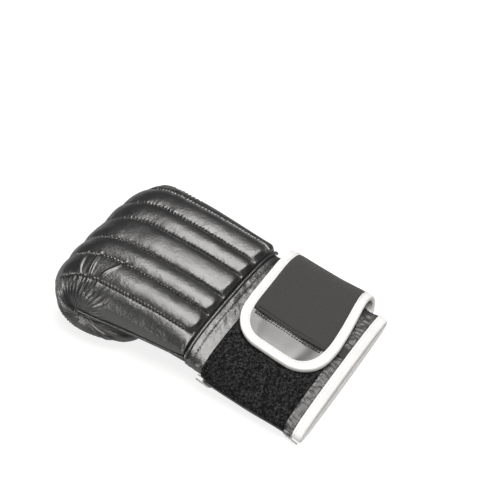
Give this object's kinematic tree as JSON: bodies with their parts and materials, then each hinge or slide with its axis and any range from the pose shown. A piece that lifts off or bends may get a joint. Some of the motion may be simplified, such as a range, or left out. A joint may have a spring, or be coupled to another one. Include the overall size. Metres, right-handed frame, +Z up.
{
  "type": "bag glove",
  "caption": "Left-hand bag glove with a padded, ribbed back curled into a fist, a thumb, a bound cuff and a wide wrist strap with an elastic panel.",
  "frame": {"origin": "under the middle of the glove, on the surface that it lies on", "axes": "+Y from the cuff to the fist, +X to the thumb side, +Z up from the palm to the back of the hand"},
  "size_m": [0.1696, 0.2556, 0.0706],
  "materials": {
    "leather": "satin",
    "strap": "satin",
    "binding": "matte",
    "web": "matte",
    "loop_pile": "matte",
    "nickel": "satin"
  },
  "bodies": {
    "root": {"back_pad": "leather", "palm_panel": "leather", "thumb": "leather", "grip_bar": "leather", "wrist_piping": "leather", "cuff": "leather", "cuff_binding": "binding", "loop_panel": "loop_pile", "strap": "strap", "strap_binding": "binding", "elastic_band": "web", "size_tab": "web", "eyelet_1": "nickel", "eyelet_2": "nickel", "eyelet_3": "nickel", "eyelet_4": "nickel", "eyelet_5": "nickel"}
  },
  "joints": []
}
